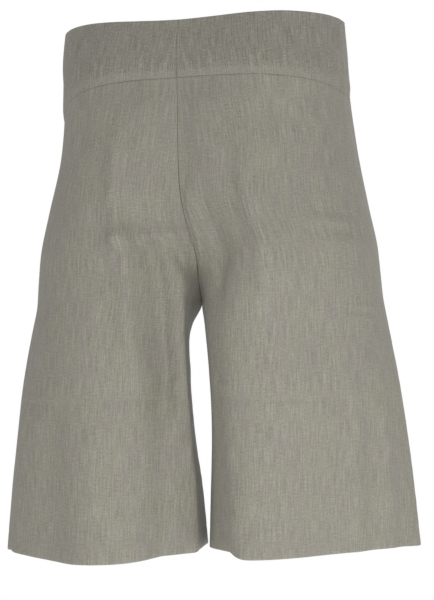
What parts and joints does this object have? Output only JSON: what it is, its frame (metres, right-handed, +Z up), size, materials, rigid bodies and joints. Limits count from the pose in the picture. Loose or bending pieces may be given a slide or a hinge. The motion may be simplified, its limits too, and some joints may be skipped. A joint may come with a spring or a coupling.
{
  "type": "bermuda shorts",
  "caption": "Wide-legged linen bermuda shorts with a deep shaped waistband and turned-up hems, in the hollow form they keep when worn.",
  "frame": {"origin": "middle of the waistband's ring, at mid-height of the band over the centre back, where the wearer holds the garment up", "axes": "+Z up along the wearer's height, +X to the wearer's left, -Y to the wearer's front, so the back of the garment faces +Y"},
  "size_m": [0.4516, 0.2718, 0.5834],
  "materials": {
    "linen": "matte grey-khaki plain-weave linen, one layer, slubby",
    "band_linen": "the same matte linen, doubled and stiffened"
  },
  "bodies": {
    "root": {"back_left": "linen", "back_right": "linen", "front_left": "linen", "front_right": "linen", "band_back_left": "band_linen", "band_back_right": "band_linen", "band_front": "band_linen"}
  },
  "joints": []
}
